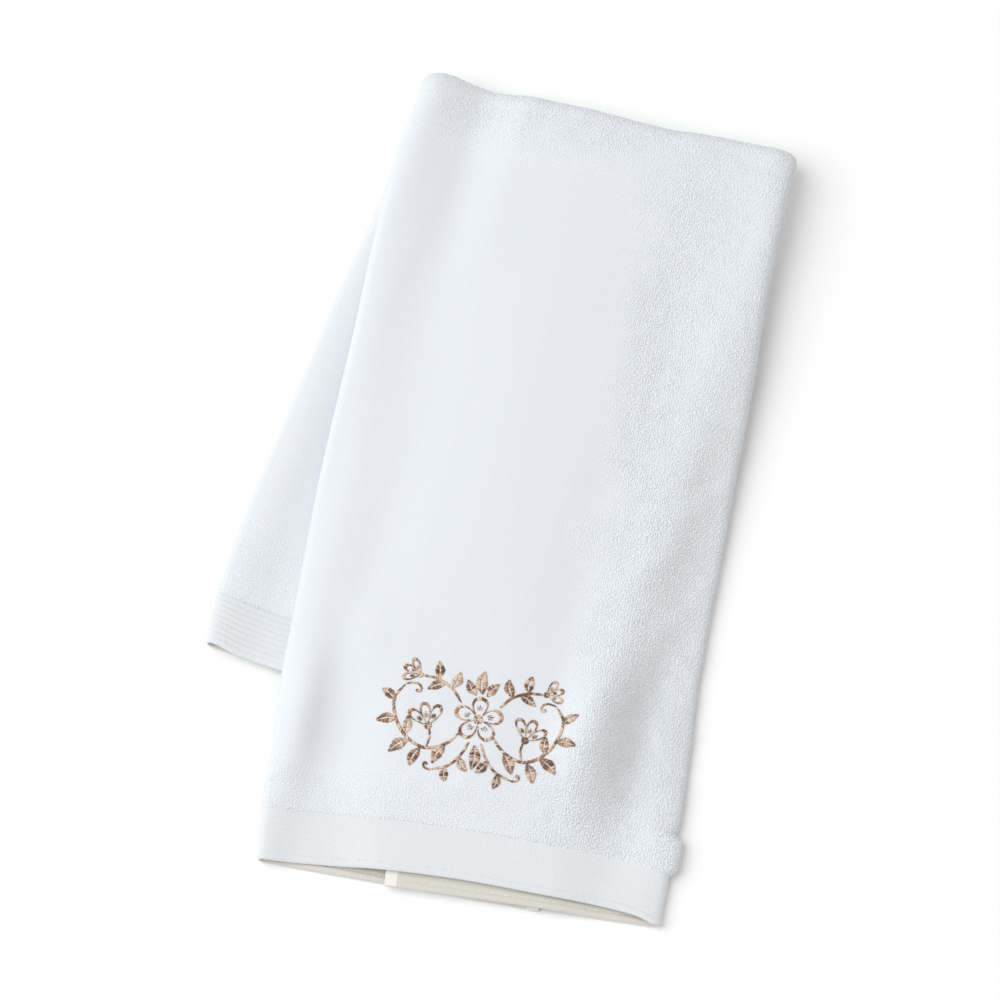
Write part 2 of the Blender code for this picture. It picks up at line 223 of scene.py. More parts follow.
def right_flap_height(s):
    """The right flap's height: it lies on the left flap's edge, and comes down beside it."""
    return LAYER_STEP * (1 - smooth_step((s - LEFT_FLAP - STEP_CLEARANCE) / STEP_RAMP))


def panel_height(s, across, along):
    """The panel's height over the flaps below it, with the rolls beside both folds."""
    on_right_flap = smooth_step((s - (PANEL - RIGHT_FLAP) + STEP_CLEARANCE + STEP_RAMP) / STEP_RAMP)
    flaps = LAYER_STEP + on_right_flap * right_flap_height(s)
    roll = np.exp(-(s / ROLL_WIDTH) ** 2) + np.exp(-((PANEL - s) / ROLL_WIDTH) ** 2)
    return flaps + (2 * SIDE_RADIUS - LAYER_STEP) * roll + swelling(across, along)


def fold_sides(u, along):
    """Lengthwise folds: the distance from the left fold, the place across the strip, the height in it."""
    left, right = side_folds(along)
    on_left_flap, in_left_turn = u < LEFT_FLAP, u < PANEL_START
    on_panel, in_right_turn = u < PANEL_END, u < RIGHT_FLAP_START
    s = np.select([on_left_flap, in_left_turn, on_panel, in_right_turn],
                  [LEFT_FLAP - u, 0.0 * u, u - PANEL_START, 0.0 * u + PANEL], PANEL - (u - RIGHT_FLAP_START))
    turn = np.select([on_left_flap, in_left_turn, on_panel, in_right_turn],
                     [0.0 * u, (u - LEFT_FLAP) / SIDE_RADIUS, 0.0 * u + math.pi,
                      (RIGHT_FLAP_START - u) / SIDE_RADIUS], 0.0)
    in_turn = (in_left_turn & ~on_left_flap) | (in_right_turn & ~on_panel)
    bulge = np.where(in_turn, SIDE_RADIUS * np.sin(turn) * np.where(in_left_turn, -1.0, 1.0), 0.0)
    across = left + (right - left) * s / PANEL + bulge
    upper = panel_height(s, across, along)
    lower = np.where(in_left_turn, 0.0, right_flap_height(s))
    raised = (1 - np.cos(turn)) / 2
    return s, across, np.where(on_panel & ~in_left_turn, upper, lower + (upper - lower) * raised)


def fold_pull(across):
    """How far the crosswise fold stands out past a straight line."""
    return sum(pull.out * np.exp(-(((across - pull.across) / pull.half_width) ** 2)) for pull in FOLD_PULLS)


def edge_bulge(s, along):
    """The pile's roll at the right fold, which stands out past the border's thinner edge."""
    above_border = smooth_step((along + UPPER_HALF - BORDER) / BULGE_START)
    above_border = above_border * smooth_step((BULGE_END - along) / BULGE_FADE)
    notch = EDGE_NOTCH * np.exp(-(((along - NOTCH_PLACE) / NOTCH_WIDTH) ** 2))
    return (EDGE_BULGE * above_border - notch) * np.exp(-((PANEL - s) / EDGE_WIDTH) ** 2)


def draw_back_hem(u, s, along):
    """The panel's hem in the upper half, drawn back so that the flaps show below it."""
    on_panel = (u > PANEL_START) & (u < PANEL_END)
    back = through_stations(s / PANEL, [row.share for row in HEM_BOW], [row.back for row in HEM_BOW])
    near_hem = smooth_step((BOW_REACH - UPPER_HALF - along) / BOW_REACH)
    return along + np.where(on_panel, back, 0.0) * near_hem


def slip_flaps(u, s, along):
    """The flaps' hems, which stand out past the panel's at both ends."""
    on_left, on_right = u < LEFT_FLAP, u > RIGHT_FLAP_START
    reach = np.where(on_left, s / LEFT_FLAP, np.where(on_right, (PANEL - s) / RIGHT_FLAP, 0))
    near_upper_hem = smooth_step((SLIP_REACH - UPPER_HALF - along) / SLIP_REACH)
    near_lower_hem = smooth_step((along - LOWER_HALF + SLIP_REACH) / SLIP_REACH)
    slip = reach * np.where(on_left, LEFT_FLAP_SLIP, RIGHT_FLAP_SLIP) * near_upper_hem
    return along - slip + LOWER_FLAP_OUT * smooth_step(reach / FLAP_EDGE_SHARE) * near_lower_hem


def skew_hems(s, along):
    upper = along * (1 + UPPER_HEM_SKEW * (s / PANEL) / UPPER_HALF)
    lower = along * (1 + LOWER_HEM_SKEW * (s / PANEL) / LOWER_HALF)
    return np.where(along < 0, upper, lower)


def strip_place_below(x, y):
    """For a place in plan, where it lies in the lower half's strip: s, along, distance from the fold."""
    along_fold = x * math.cos(FOLD_TILT) + y * math.sin(FOLD_TILT)
    from_fold = x * math.sin(FOLD_TILT) - y * math.cos(FOLD_TILT) + FOLD_TURN / 2
    across = along_fold * math.cos(FOLD_TILT) - from_fold * math.sin(FOLD_TILT)
    along = along_fold * math.sin(FOLD_TILT) + from_fold * math.cos(FOLD_TILT)
    left, right = side_folds(along)
    return (across - left) / (right - left) * PANEL, along, from_fold


def lower_half_under(x, y):
    """The lower half's height at a place in plan, and how far it holds up the upper half there, 0 to 1."""
    s, along, from_fold = strip_place_below(x, y)
    left, right = side_folds(along)
    inside = np.clip(s, 0.0, PANEL)
    height = panel_height(inside, left + (right - left) * inside / PANEL, along)
    hem = LOWER_HALF + LOWER_HEM_SKEW * inside / PANEL
    past_side = smooth_step((s - PANEL - DROP_START) / SIDE_DROP)
    past_hem = smooth_step((along - hem - DROP_START) / HEM_DROP)
    carried = (1 - past_side) * (1 - past_hem)
    near_fold = smooth_step((from_fold - FOLD_TURN / 2) / DROP_FADE)
    return height, 1 - (1 - carried) * near_fold


def lay_cloth(u, v):
    """Where the middle of the sheet lies, at u across and v along the flat cloth."""
    along = v - UPPER_HALF
    s, across, height = fold_sides(u, along)
    across = across + edge_bulge(s, along)
    along = skew_hems(s, draw_back_hem(u, s, slip_flaps(u, s, along)))
    along_fold = across * math.cos(FOLD_TILT) + along * math.sin(FOLD_TILT)
    past_fold = along * math.cos(FOLD_TILT) - across * math.sin(FOLD_TILT)
    radius = FOLD_RADIUS + height
    turn = math.pi * np.clip(past_fold / FOLD_TURN + 0.5, 0.0, 1.0)
    out = radius * np.sin(turn) - np.maximum(np.abs(past_fold) - FOLD_TURN / 2, 0.0)
    out = out + fold_pull(across) * np.exp(-((past_fold / PULL_REACH) ** 2))
    x = along_fold * math.cos(FOLD_TILT) - out * math.sin(FOLD_TILT)
    y = along_fold * math.sin(FOLD_TILT) + out * math.cos(FOLD_TILT)
    half_sheet = PILE_THICK / 2
    left, right = side_folds(along)
    own_axis = half_sheet + FOLD_RADIUS + panel_height(s, left + (right - left) * s / PANEL, along)
    under, carried = lower_half_under(x, y)
    upper_axis = carried * (half_sheet + FOLD_RADIUS + under) + (1 - carried) * (half_sheet - FOLD_RADIUS)
    into_turn = smooth_step(past_fold / FOLD_TURN + 0.5)
    axis = own_axis * into_turn + upper_axis * (1 - into_turn)
    return np.stack([x, y, axis + radius * np.cos(turn)], axis=-1) - FRAME_ORIGIN


def directions(u, v):
    """Unit directions of the laid cloth: across it, along it, and out of its outer face."""
    near = 1e-5
    by_u = lay_cloth(u + near, v) - lay_cloth(u - near, v)
    by_v = lay_cloth(u, v + near) - lay_cloth(u, v - near)
    out = np.cross(by_u, by_v)
    return tuple(d / np.linalg.norm(d, axis=-1, keepdims=True) for d in (by_u, by_v, out))


def sheet_thickness(u, v):
    """The ground's thickness, with the borders' ribs, the hems, their seams and their rolled edges."""
    from_end = np.minimum(v, CLOTH_LENGTH - v)
    from_side = np.minimum(u, CLOTH_WIDTH - u)
    from_groove = RIB_PITCH * np.abs((from_end - HEM) / RIB_PITCH - np.round((from_end - HEM) / RIB_PITCH))
    rib = 1 - 2 * np.exp(-((from_groove / GROOVE_WIDTH) ** 2))
    border = BORDER_THICK + 2 * np.where(v < UPPER_HALF, UPPER_RIB_RISE, LOWER_RIB_RISE) * rib
    thick = np.where(from_end > BORDER, GROUND_THICK, border)
    seam = 1 - SEAM_DIP * np.exp(-((from_end - HEM) / SEAM_WIDTH) ** 2)
    rolled_edge = np.sqrt(np.clip(from_end / HEM_ROLL, 0.08, 1.0))
    thick = np.where(from_end < HEM, HEM_THICK * seam * rolled_edge, thick)
    side_hem = SIDE_HEM_THICK * np.sqrt(np.clip(from_side / SIDE_HEM_ROLL, 0.1, 1.0))
    return np.where(from_side < SIDE_HEM, np.maximum(thick, side_hem), thick)


def patches(u, v, size, seed):
    """Even, wandering values from -1 to 1 over the cloth, in patches of the given size."""
    shape = int(CLOTH_WIDTH / size) + 4, int(CLOTH_LENGTH / size) + 4
    lattice = np.random.default_rng(seed).uniform(-1, 1, shape)
    i, j = np.floor(u / size).astype(int) + 1, np.floor(v / size).astype(int) + 1
    a, b = smooth_step(u / size - i + 1), smooth_step(v / size - j + 1)
    return ((lattice[i, j] * (1 - a) + lattice[i + 1, j] * a) * (1 - b)
            + (lattice[i, j + 1] * (1 - a) + lattice[i + 1, j + 1] * a) * b)


# The nap, brushed flat from the left fold to a wavering line. It reaches farther towards the border, and less
# far right beside it. Its places on the upper half are shares of the panel's width and of its length.
BRUSHED_SHARE = 0.53
BRUSHED_WIDENING = 0.13
BRUSHED_NARROWING = 0.14
NARROWING_START, NARROWING_FADE = 0.16, 0.10
BRUSHED_WAVER = 0.05
WAVER_PATCH = 0.02
BRUSHED_FADE = 0.19
LEAST_LOOSE = 0.10
LOOSE_TOP_START, LOOSE_TOP_FADE = 0.88, 0.10
LOOSE_TOP_LEFT, LOOSE_TOP_SPREAD = -0.1, 0.3
LOOSE_BESIDE_BORDER = 0.55
BORDER_REACH, BORDER_FADE = 0.10, 0.07
LOOSE_ON_LOWER_FLAP = 0.10
LOOSER_NEAR_LOWER_HEM = 0.42
LOWER_HEM_REACH, LOWER_HEM_FADE = 0.060, 0.045
LOOSE_UNDERNEATH = 0.8
LOOSE_FOLD_FADE = 0.02


def ruffled(u, v):
    """How loose the pile stands, 0 to 1: brushed flat down the middle, loose at the right and the ends."""
    share, up = (u - PANEL_START) / PANEL, (v - BORDER) / (UPPER_HALF - BORDER)
    start = BRUSHED_SHARE + BRUSHED_WIDENING * np.clip(1 - up, 0, 1)
    start = start - BRUSHED_NARROWING * smooth_step((NARROWING_START - up) / NARROWING_FADE)
    right = smooth_step((share - start + BRUSHED_WAVER * patches(u, v, WAVER_PATCH, 7)) / BRUSHED_FADE)
    near_top = smooth_step((up - LOOSE_TOP_START) / LOOSE_TOP_FADE)
    top = near_top * smooth_step((share - LOOSE_TOP_LEFT) / LOOSE_TOP_SPREAD)
    beside_border = LOOSE_BESIDE_BORDER * smooth_step((BORDER_REACH - up) / BORDER_FADE)
    upper = np.maximum(np.maximum(right, top), beside_border)
    near_lower_hem = smooth_step((v - (CLOTH_LENGTH - BORDER - LOWER_HEM_REACH)) / LOWER_HEM_FADE)
    on_lower_flap = LOOSE_ON_LOWER_FLAP + LOOSER_NEAR_LOWER_HEM * near_lower_hem
    lower = np.where(u < PANEL_START, on_lower_flap, LOOSE_UNDERNEATH)
    past_fold = smooth_step((v - UPPER_HALF) / LOOSE_FOLD_FADE)
    return np.clip(LEAST_LOOSE + (1 - LEAST_LOOSE) * (upper * (1 - past_fold) + lower * past_fold), 0, 1)


# The brushed yarn's rise, and the yarn's soft unevenness: its height and the size of its patches, in loose
# pile and round the embroidery, whose stitches draw the cloth in. Both fade out beside the borders.
BRUSHED_RISE, BRUSHED_EDGE = 0.00046, 0.0008
SWELL_EDGE = 0.004
FINE_SWELL, FINE_PATCH = 0.00014, 0.0060
BROAD_SWELL, BROAD_PATCH = 0.00024, 0.0150
PUCKER, PUCKER_PATCH = 0.00035, 0.0085
MOTIF_CENTRE = (PANEL_START + 0.0905, 0.0785)
MOTIF_HALF_WIDTH, MOTIF_HALF_HEIGHT = 0.052, 0.036


def pile_swell(u, v):
    """The soft unevenness of the loose pile and of the cloth round the embroidery, none at the borders."""
    from_end = np.minimum(v, CLOTH_LENGTH - v)
    uneven = FINE_SWELL * patches(u, v, FINE_PATCH, 14) + BROAD_SWELL * patches(u, v, BROAD_PATCH, 15)
    aside, ahead = (u - MOTIF_CENTRE[0]) / MOTIF_HALF_WIDTH, (v - MOTIF_CENTRE[1]) / MOTIF_HALF_HEIGHT
    pucker = PUCKER * np.exp(-(aside**2 + ahead**2)) * patches(u, v, PUCKER_PATCH, 16)
    return (ruffled(u, v) * uneven + pucker) * smooth_step((from_end - BORDER) / SWELL_EDGE)


def nap_rise(u, v):
    """How far the brushed yarn fills the gaps between the loops, above the ground of the sheet."""
    from_end = np.minimum(v, CLOTH_LENGTH - v)
    off_border = smooth_step((from_end - BORDER) / BRUSHED_EDGE)
    return BRUSHED_RISE * (1 - ruffled(u, v)) * off_border + pile_swell(u, v)


def spaced(start, end, pitch):
    return list(np.linspace(start, end, max(int(round((end - start) / pitch)), 1), endpoint=False))


# The sheet's mesh: close rows in the turns, the ribs and the hems, and wide ones where the cloth lies hidden.
HIDDEN_PITCH = 0.0065
HIDDEN_ROW = 0.0060
FLAP_FOLD_PITCH = 0.003
TURN_PITCH = 0.00095
PANEL_FOLD_PITCH = 0.0019
PANEL_PITCH = 0.0028
PANEL_ROW = 0.0026
BORDER_EDGE_ROW = 0.0016
FOLD_ROW = 0.0010
ROWS_PER_RIB = 6
SIDE_HEM_LINES = [0.0, 0.0004, 0.0010, 0.0030, 0.0052, SIDE_HEM]
BORDER_STEP = 0.0001
HEM_LINES = [0.0, 0.0003, 0.0009, 0.0018, 0.0027, 0.0032, HEM - BORDER_STEP]


def sheet_grid():
    past_side_hem, beside_flap_fold, beside_panel_fold = 0.009, 0.02, 0.024
    beside_border, beside_fold, lower_border = 0.026, 0.012, CLOTH_LENGTH - BORDER - 0.002
    across = SIDE_HEM_LINES + spaced(past_side_hem, LEFT_FLAP - beside_flap_fold, HIDDEN_PITCH)
    across += spaced(LEFT_FLAP - beside_flap_fold, LEFT_FLAP, FLAP_FOLD_PITCH)
    across += spaced(LEFT_FLAP, PANEL_START, TURN_PITCH)
    across += spaced(PANEL_START, PANEL_START + beside_panel_fold, PANEL_FOLD_PITCH)
    across += spaced(PANEL_START + beside_panel_fold, PANEL_END - beside_panel_fold, PANEL_PITCH)
    across += spaced(PANEL_END - beside_panel_fold, PANEL_END, PANEL_FOLD_PITCH)
    across += spaced(PANEL_END, RIGHT_FLAP_START, TURN_PITCH)
    across += spaced(RIGHT_FLAP_START, RIGHT_FLAP_START + beside_flap_fold, FLAP_FOLD_PITCH)
    across += spaced(RIGHT_FLAP_START + beside_flap_fold, CLOTH_WIDTH - past_side_hem, HIDDEN_PITCH)
    across += [CLOTH_WIDTH - line for line in reversed(SIDE_HEM_LINES)]
    end = HEM_LINES + [HEM + RIB_PITCH * step / ROWS_PER_RIB for step in range(1, ROWS_PER_RIB * RIBS)]
    end += [BORDER - BORDER_STEP, BORDER + BORDER_STEP]
    along = end + spaced(BORDER + 0.0012, BORDER + beside_border, BORDER_EDGE_ROW)
    along += spaced(BORDER + beside_border, UPPER_HALF - beside_fold, PANEL_ROW)
    along += spaced(UPPER_HALF - beside_fold, UPPER_HALF + beside_fold, FOLD_ROW)
    along += spaced(UPPER_HALF + beside_fold, lower_border, HIDDEN_ROW)
    along += [lower_border] + [CLOTH_LENGTH - v for v in reversed(end)]
    return np.array(across), np.array(along)


def make_mesh(name, points, faces, materials, face_material=None):
    """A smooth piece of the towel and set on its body."""
    mesh = bpy.data.meshes.new(name)
    mesh.from_pydata(points, [], faces)
    for material in materials:
        mesh.materials.append(material)
    if face_material is not None:
        mesh.polygons.foreach_set("material_index", np.asarray(face_material, np.int32))
    mesh.shade_smooth()
    piece = bpy.data.objects.new(name, mesh)
    bpy.context.scene.collection.objects.link(piece)
    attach(piece, "root")
    return piece


Cotton = namedtuple("Cotton", "name light shade column column_depth grain grain_depth sheen")


def cotton(finish):
    """Matt woven cotton: fine columns of warp that run along the cloth, broken by the grain of the yarn."""
    material = bpy.data.materials.new(finish.name)
    material.use_nodes = True
    nodes, links = material.node_tree.nodes, material.node_tree.links
    surface = nodes["Principled BSDF"]
    surface.inputs["Roughness"].default_value = 0.95
    surface.inputs["Specular IOR Level"].default_value = 0.15
    surface.inputs["Sheen Weight"].default_value = finish.sheen
    surface.inputs["Sheen Roughness"].default_value = 0.6
    weave = nodes.new("ShaderNodeUVMap")
    weave.uv_map = "weave"
    columns = nodes.new("ShaderNodeTexWave")
    columns.inputs["Scale"].default_value = 0.1 * math.pi / finish.column
    columns.inputs["Distortion"].default_value = 1.2
    columns.inputs["Detail Scale"].default_value = 2.0
    grain = nodes.new("ShaderNodeTexNoise")
    grain.inputs["Scale"].default_value = 1 / finish.grain
    grain.inputs["Detail"].default_value = 3
    mixed = nodes.new("ShaderNodeMath")
    mixed.operation = "MULTIPLY_ADD"
    mixed.inputs[1].default_value = finish.column_depth
    tones = nodes.new("ShaderNodeValToRGB")
    dark, bright = tones.color_ramp.elements
    dark.position, bright.position = 0.3, 0.3 + finish.column_depth
    dark.color, bright.color = (*finish.shade, 1), (*finish.light, 1)
    bump = nodes.new("ShaderNodeBump")
    bump.inputs["Strength"].default_value = 0.8
    bump.inputs["Distance"].default_value = finish.grain_depth
    links.new(weave.outputs["UV"], columns.inputs["Vector"])
    links.new(weave.outputs["UV"], grain.inputs["Vector"])
    links.new(columns.outputs["Fac"], mixed.inputs[0])
    links.new(grain.outputs["Fac"], mixed.inputs[2])
    links.new(mixed.outputs["Value"], tones.inputs["Fac"])
    links.new(mixed.outputs["Value"], bump.inputs["Height"])
    links.new(tones.outputs["Color"], surface.inputs["Base Color"])
    links.new(bump.outputs["Normal"], surface.inputs["Normal"])
    return material


COTTONS = (
    Cotton("terry ground", (0.748, 0.776, 0.812), (0.728, 0.756, 0.792), 0.0012, 0.2, 0.0008, 0.00010, 0.0),
    Cotton("flat woven border", (0.765, 0.785, 0.81), (0.69, 0.71, 0.735), 0.001, 0.5, 0.0011, 0.00016, 0.05),
    # The border reverse is darker and warmer than the face: painted shade for the shadowed gap below the
    # hems, where the reverse shows.
    Cotton("border reverse with painted shade", (0.715, 0.69, 0.635), (0.635, 0.61, 0.555), 0.0012, 0.7, 0.0012, 0.00015, 0.0),
    Cotton("side hem", (0.87, 0.85, 0.785), (0.82, 0.80, 0.735), 0.0010, 0.4, 0.0009, 0.00012, 0.05),
)
TERRY, BORDER_FACE, BORDER_REVERSE_PAINTED_SHADE, HEMMED_SIDE = range(len(COTTONS))


def cotton_of_faces(across, along, border):
    """Which cotton each patch of one side of the sheet shows. The side hems show only near the ends."""
    from_side = np.minimum(across, CLOTH_WIDTH - across)[:, None]
    from_end = np.minimum(along, CLOTH_LENGTH - along)[None, :]
    woven = np.where(from_end < BORDER, border, TERRY)
    return np.where((from_side < SIDE_HEM) & (from_end < 2 * BORDER), HEMMED_SIDE, woven).reshape(-1)


def lay_sheet():
    across, along = sheet_grid()
    u, v = np.meshgrid(across, along, indexing="ij")
    middle, (_, _, out) = lay_cloth(u, v), directions(u, v)
    half = sheet_thickness(u, v)[..., None] / 2
    sides = np.stack([middle + out * (half + nap_rise(u, v)[..., None]), middle - out * half])
    sides[..., 2] = np.maximum(sides[..., 2], LEAST_HEIGHT)
    n_across, n_along = u.shape
    number = np.arange(2 * n_across * n_along).reshape(2, n_across, n_along)
    quads, cottons = [], []
    for side, border in ((0, BORDER_FACE), (1, BORDER_REVERSE_PAINTED_SHADE)):
        a, b = number[side, :-1, :-1], number[side, 1:, :-1]
        c, d = number[side, 1:, 1:], number[side, :-1, 1:]
        ring = (a, b, c, d) if side == 0 else (a, d, c, b)
        quads.append(np.stack(ring, axis=-1).reshape(-1, 4))
        cottons.append(cotton_of_faces((across[1:] + across[:-1]) / 2, (along[1:] + along[:-1]) / 2, border))
    rim = [(i, 0) for i in range(n_across)] + [(n_across - 1, j) for j in range(1, n_along)]
    rim += [(i, n_along - 1) for i in range(n_across - 2, -1, -1)]
    rim += [(0, j) for j in range(n_along - 2, 0, -1)]
    edge = [(number[0][q], number[0][p], number[1][p], number[1][q]) for p, q in zip(rim, rim[1:] + rim[:1])]
    quads.append(np.array(edge))
    cottons.append(np.full(len(edge), BORDER_FACE))
    sheet = make_mesh("cloth", sides.reshape(-1, 3).tolist(), np.concatenate(quads).tolist(),
                      [cotton(finish) for finish in COTTONS], np.concatenate(cottons))
    corners = np.empty(len(sheet.data.loops), np.int32)
    sheet.data.loops.foreach_get("vertex_index", corners)
    flat = np.stack([u, v], axis=-1).reshape(-1, 2)
    weave = sheet.data.uv_layers.new(name="weave")
    weave.data.foreach_set("uv", flat[corners % len(flat)].ravel())
    return sheet


cloth = lay_sheet()
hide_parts("towel")

# ---- The pile ----
# Short loops of soft cotton yarn, left off the borders. They stand close together, brushed down to an even
# nap in the middle of the panel and looser towards the right and the ends, where they lean in small clumps.

LOOP_PITCH = 0.00115
LOOP_ROOT = 0.00062
LOOP_HEIGHT = 0.00072
LOOP_WIDTH = 0.00072
LOOP_STRAY = 0.35
KNEE_HEIGHT, KNEE_WIDTH = 0.72, 0.80
CLUMP = 0.0032
CLUMP_SHAPE = 0.6
CLUMP_LEAN = 0.30
CLUMP_HEIGHT = 0.07
NAP_LEAN = 0.22
STRAY_LEAN = 0.10
STRAY_HEIGHT = 0.04
PAST_FOLD = 0.008
UPPER_BANDS = 4


def loop_places(u_range, v_range, seed):
    """Where the loops stand in one stretch of the cloth: staggered rows, each loop a little out of place."""
    chance = np.random.default_rng(seed)
    u, v = np.meshgrid(np.arange(*u_range, LOOP_PITCH), np.arange(*v_range, LOOP_PITCH), indexing="ij")
    v = v + 0.5 * LOOP_PITCH * (np.arange(len(u)) % 2)[:, None]
    u = u + chance.uniform(-LOOP_STRAY, LOOP_STRAY, u.shape) * LOOP_PITCH
    v = v + chance.uniform(-LOOP_STRAY, LOOP_STRAY, v.shape) * LOOP_PITCH
    inside = (v > v_range[0]) & (v < v_range[1])
    return u[inside], v[inside], chance


def grow_pile(name, u, v, chance, material):
    """One loop at each place: a three-sided tuft that narrows at the knee and closes in a point."""
    points, (along_u, along_v, out) = lay_cloth(u, v), directions(u, v)
    loose = ruffled(u, v)
    lean_u, lean_v = (loose * (CLUMP_LEAN * patches(u, CLUMP_SHAPE * v, CLUMP, seed)
                               + chance.normal(0, STRAY_LEAN, u.shape)) for seed in (11, 12))
    lean_v = lean_v - NAP_LEAN
    uneven = CLUMP_HEIGHT * patches(u, v, CLUMP, 13) + chance.normal(0, STRAY_HEIGHT, u.shape)
    height = LOOP_HEIGHT * (1 + loose * uneven)
    root = points + out * (LOOP_ROOT + pile_swell(u, v))[:, None]
    rise = out + along_u * lean_u[:, None] + along_v * lean_v[:, None]
    spin = chance.uniform(0, 2 * math.pi, u.shape)
    width = LOOP_WIDTH * chance.uniform(0.88, 1.14, u.shape)
    rings = []
    for level, share in ((0.0, 1.0), (KNEE_HEIGHT, KNEE_WIDTH)):
        for third in range(3):
            angle = (spin + third * 2 * math.pi / 3)[:, None]
            spread = (along_u * np.cos(angle) + along_v * np.sin(angle)) * (width * share)[:, None]
            rings.append(root + spread + rise * (height * level)[:, None])
    rings.append(root + rise * height[:, None])
    stack = np.stack(rings, axis=1)
    stack[..., 2] = np.maximum(stack[..., 2], LEAST_HEIGHT)
    first, tip = np.arange(len(u))[:, None] * len(rings), len(rings) - 1
    faces = []
    for k in range(3):
        n = (k + 1) % 3
        faces += [first + (k, n, n + 3), first + (k, n + 3, k + 3), first + (k + 3, n + 3, tip)]
    faces = np.stack(faces, axis=1).reshape(-1, 3)
    return make_mesh(name, stack.reshape(-1, 3).tolist(), faces.tolist(), [material])


def loop_yarn():
    """Soft cotton yarn: each loop a slightly different white, with a fibrous bump."""
    material = bpy.data.materials.new("loop yarn")
    material.use_nodes = True
    nodes, links = material.node_tree.nodes, material.node_tree.links
    surface = nodes["Principled BSDF"]
    surface.inputs["Roughness"].default_value = 0.92
    surface.inputs["Specular IOR Level"].default_value = 0.15
    surface.inputs["Sheen Weight"].default_value = 0.06
    surface.inputs["Sheen Roughness"].default_value = 0.5
    loop = nodes.new("ShaderNodeNewGeometry")
    tones = nodes.new("ShaderNodeValToRGB")
    tones.color_ramp.elements[0].color = (0.812, 0.835, 0.862, 1)
    tones.color_ramp.elements[1].color = (0.852, 0.875, 0.902, 1)
    place = nodes.new("ShaderNodeTexCoord")
    fibre = nodes.new("ShaderNodeTexNoise")
    fibre.inputs["Scale"].default_value = 2600
    fibre.inputs["Detail"].default_value = 2
    bump = nodes.new("ShaderNodeBump")
    bump.inputs["Strength"].default_value = 0.5
    bump.inputs["Distance"].default_value = 0.0001
    links.new(loop.outputs["Random Per Island"], tones.inputs["Fac"])
    links.new(tones.outputs["Color"], surface.inputs["Base Color"])
    links.new(place.outputs["Object"], fibre.inputs["Vector"])
    links.new(fibre.outputs["Fac"], bump.inputs["Height"])
    links.new(bump.outputs["Normal"], surface.inputs["Normal"])
    return material


pile_yarn = loop_yarn()
past_left_fold, past_right_fold = LEFT_FLAP - PAST_FOLD, RIGHT_FLAP_START + PAST_FOLD
upper_bands = np.linspace(BORDER, UPPER_HALF + FOLD_TURN / 2, UPPER_BANDS + 1)
for band, band_ends in enumerate(zip(upper_bands, upper_bands[1:])):
    u, v, chance = loop_places((past_left_fold, past_right_fold), band_ends, 20 + band)
    grow_pile(f"pile_upper_{band + 1}", u, v, chance, pile_yarn)

# Of the lower half, the pile shows on the left flap out past the upper half, and round both folds.
SHOWN_FLAP = 0.066
SHOWN_PAST_EDGE = 0.006
below_fold = (UPPER_HALF + FOLD_TURN / 2, CLOTH_LENGTH - BORDER)
u, v, chance = loop_places((LEFT_FLAP - SHOWN_FLAP, PANEL_START + 0.001), below_fold, 31)
laid = lay_cloth(u, v) + FRAME_ORIGIN
left_edge, _ = side_folds(laid[:, 1])
shows = laid[:, 0] < left_edge + SHOWN_PAST_EDGE
grow_pile("pile_lower_left", u[shows], v[shows], chance, pile_yarn)
u, v, chance = loop_places((PANEL_END - 0.001, past_right_fold), below_fold, 32)
grow_pile("pile_lower_right", u, v, chance, pile_yarn)

# ---- The stitching of the hems ----
# White sewing thread, run by machine in one straight row along the top of each end hem. It goes through all
# the hem's layers, so its stitches show on the face and on the reverse.

HEM_STITCH = 0.0026
HEM_STITCH_GAP = 0.0007
HEM_THREAD_WIDTH = 0.00036
HEM_THREAD_RISE = (0.0003, 0.00066)
STITCH_SIDES = 5
STITCH_RINGS = (0.0, 0.16, 0.5, 0.84, 1.0)
STITCH_SHOULDER = 0.82
STITCH_FLATNESS = 0.7

Thread = namedtuple("Thread", "name dark middle light roughness")


def thread_material(thread):
    """Glossy thread, each stitch in its own tone between dark and light."""
    material = bpy.data.materials.new(thread.name)
    material.use_nodes = True
    nodes, links = material.node_tree.nodes, material.node_tree.links
    surface = nodes["Principled BSDF"]
    surface.inputs["Roughness"].default_value = thread.roughness
    surface.inputs["Sheen Weight"].default_value = 0.15
    stitch = nodes.new("ShaderNodeNewGeometry")
    tones = nodes.new("ShaderNodeValToRGB")
    tones.color_ramp.elements[0].color = (*thread.dark, 1)
    tones.color_ramp.elements[1].color = (*thread.light, 1)
    middle = tones.color_ramp.elements.new(0.4)
    middle.color = (*thread.middle, 1)
    links.new(stitch.outputs["Random Per Island"], tones.inputs["Fac"])
    links.new(tones.outputs["Color"], surface.inputs["Base Color"])
    return material


def stitch_faces():
    """The faces of one stitch: a fan at its start, two bands round it, and a fan at its end."""
    last = 1 + 3 * STITCH_SIDES
    faces = []
    for k in range(STITCH_SIDES):
        n = (k + 1) % STITCH_SIDES
        faces += [(1 + n, 1 + k, 0)]
        for base in (1, 1 + STITCH_SIDES):
            faces += [(base + n, base + STITCH_SIDES + n, base + STITCH_SIDES + k, base + k)]
        faces += [(last - STITCH_SIDES + n, last, last - STITCH_SIDES + k)]
    return faces


